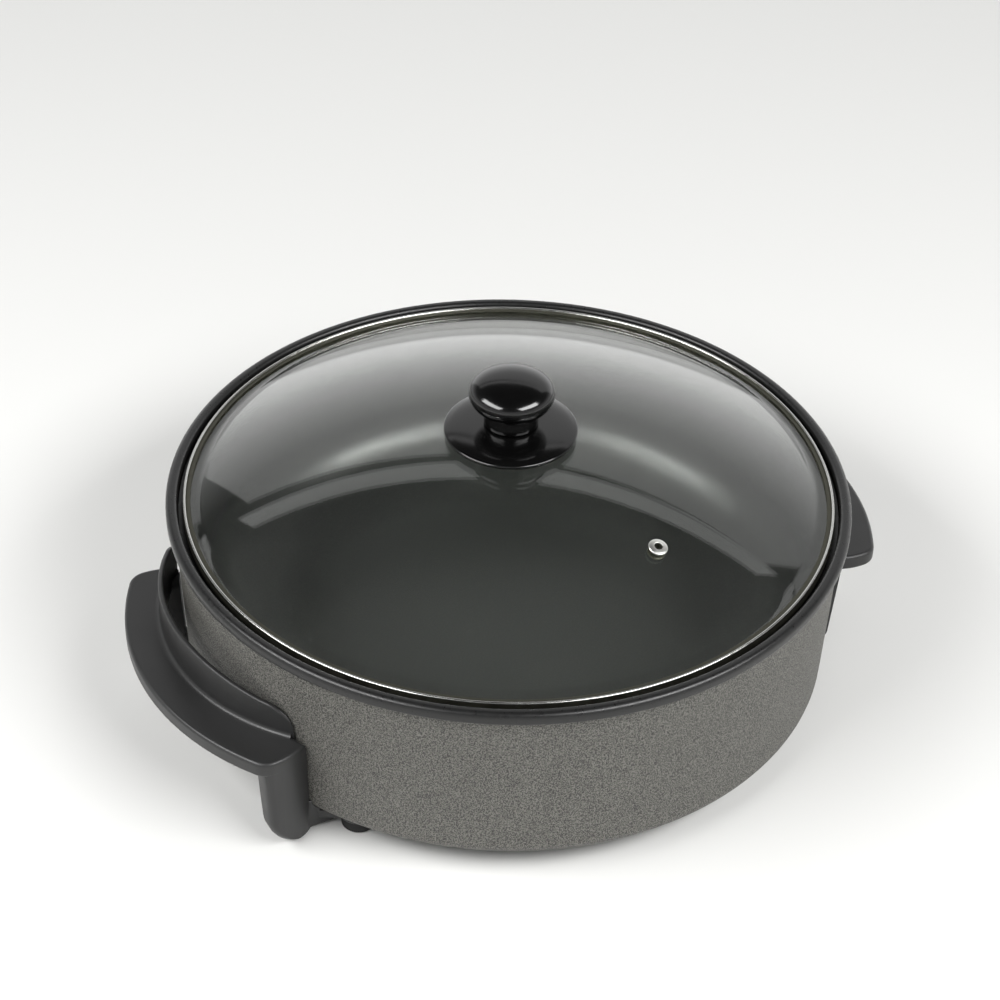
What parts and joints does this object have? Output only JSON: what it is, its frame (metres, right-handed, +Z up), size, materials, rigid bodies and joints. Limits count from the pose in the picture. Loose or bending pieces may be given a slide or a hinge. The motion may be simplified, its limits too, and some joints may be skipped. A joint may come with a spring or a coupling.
{
  "type": "electric skillet",
  "caption": "Round electric skillet with a deep cast pan on moulded side handles with feet, a heating element below, a socket for a plug-in control and a loose domed glass lid.",
  "frame": {"origin": "on the table, below the centre of the pan, at the bottom centre of the whole part", "axes": "+X from the left handle to the right handle with the socket, -Y to the front of the pan, +Z up along the axis of the pan and the lid"},
  "size_m": [0.4412, 0.3792, 0.1944],
  "materials": {
    "pan": "textured grey-beige paint outside, dark non-stick coating inside",
    "element_sheath": "oxidised, satin",
    "sheet_steel": "satin",
    "lid_steel": "polished",
    "zinc_screws": "zinc plated",
    "nickel": "bright",
    "brass": "satin",
    "ceramic": "matt",
    "handles": "satin black",
    "knob": "gloss black",
    "feet": "matt",
    "seals": "matt",
    "glass": "clear, tempered"
  },
  "bodies": {
    "base": {"pan": "pan", "heating_element": "element_sheath", "element_clamp_1": "sheet_steel", "element_clamp_2": "sheet_steel", "element_clamp_3": "sheet_steel", "clamp_screw_1": "zinc_screws", "clamp_screw_2": "zinc_screws", "clamp_screw_3": "zinc_screws", "terminal_pin_front": "nickel", "terminal_pin_rear": "nickel", "pin_insulator_front": "ceramic", "pin_insulator_rear": "ceramic", "shroud_screw_front": "zinc_screws", "shroud_screw_rear": "zinc_screws", "probe_sleeve": "nickel", "socket_shroud": "sheet_steel", "handle_right": "handles", "handle_left": "handles", "foot_1": "feet", "foot_2": "feet", "foot_3": "feet", "foot_4": "feet", "foot_washer_1": "zinc_screws", "foot_washer_2": "zinc_screws", "foot_washer_3": "zinc_screws", "foot_washer_4": "zinc_screws", "foot_screw_1": "zinc_screws", "foot_screw_2": "zinc_screws", "foot_screw_3": "zinc_screws", "foot_screw_4": "zinc_screws"},
    "lid": {"lid_glass": "glass", "lid_band": "lid_steel", "knob_head": "knob", "knob_skirt": "knob", "knob_insert": "brass", "knob_upper_seal": "seals", "knob_lower_gasket": "seals", "knob_inner_disc": "knob", "knob_washer": "zinc_screws", "knob_screw": "zinc_screws", "vent_eyelet": "lid_steel", "vent_seal": "seals"}
  },
  "joints": [
    {"name": "lid_lift", "type": "slide", "parent": "base", "child": "lid", "axis": [0, 0, 1], "range_m": [0, 0.12]}
  ]
}
